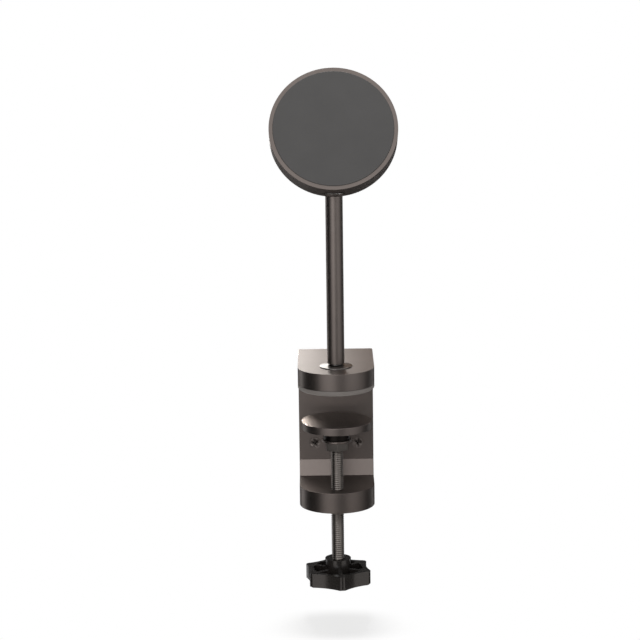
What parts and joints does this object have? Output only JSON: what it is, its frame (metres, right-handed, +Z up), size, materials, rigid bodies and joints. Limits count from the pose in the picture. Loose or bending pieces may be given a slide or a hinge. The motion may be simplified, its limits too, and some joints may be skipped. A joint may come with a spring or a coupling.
{
  "type": "wireless charging stand",
  "caption": "Clamp-on wireless charging stand: screw clamp for a desk edge, slim upright post and a round magnetic charging head on a friction tilt hinge.",
  "frame": {"origin": "on the underside of the jaw pad, where the desk top touches it, on the axis of the post", "axes": "+X to the right, +Y to the back of the stand, +Z up along the post"},
  "size_m": [0.058, 0.0711, 0.2452],
  "materials": {
    "anodised_metal": "dark satin anodised",
    "soft_pad": "matt soft sheet",
    "polished_metal": "polished",
    "screw_steel": "dark plated",
    "thread_steel": "plated",
    "knob_plastic": "black moulded",
    "cover_plastic": "fine matt",
    "magnet_metal": "plated",
    "copper": "wound wire",
    "ferrite": "matt sintered",
    "board_laminate": "solder mask",
    "component_plastic": "moulded",
    "inlet_steel": "plated"
  },
  "bodies": {
    "clamp_frame": {"upper_jaw": "anodised_metal", "lower_jaw": "anodised_metal", "jaw_screws": "screw_steel", "jaw_pad": "soft_pad", "post_washer": "polished_metal", "post": "anodised_metal", "post_bolt": "screw_steel", "hinge_knuckle": "anodised_metal"},
    "clamp_pad": {"pad_disc": "anodised_metal"},
    "clamp_screw": {"screw_rod": "thread_steel", "pad_nut": "thread_steel", "star_knob": "knob_plastic"},
    "charging_head": {"rear_housing": "anodised_metal", "front_cover": "cover_plastic", "face_pad": "soft_pad", "magnet_ring": "magnet_metal", "charging_coil": "copper", "ferrite_plate": "ferrite", "circuit_board": "board_laminate", "board_parts": "component_plastic", "thermal_pad": "soft_pad", "power_inlet_shell": "inlet_steel", "power_inlet_tongue": "cover_plastic", "hinge_bolt": "screw_steel", "hinge_nut": "screw_steel"}
  },
  "joints": [
    {"name": "screw_feed", "type": "slide", "parent": "clamp_frame", "child": "clamp_pad", "axis": [0, 0, 1], "range_m": [-0.0188, 0.0167]},
    {"name": "knob_turn", "type": "hinge", "parent": "clamp_pad", "child": "clamp_screw", "pos_m": [0, 0.0068, -0.06], "axis": [0, 0, 1], "range_deg": [-6769, 6013]},
    {"name": "head_tilt", "type": "hinge", "parent": "clamp_frame", "child": "charging_head", "pos_m": [0, 0, 0.114], "axis": [-1, 0, 0], "range_deg": [-32, 53]}
  ],
  "couplings": [
    {"joint": "knob_turn", "follows": "screw_feed", "rad_per_m": 6283.2}
  ]
}
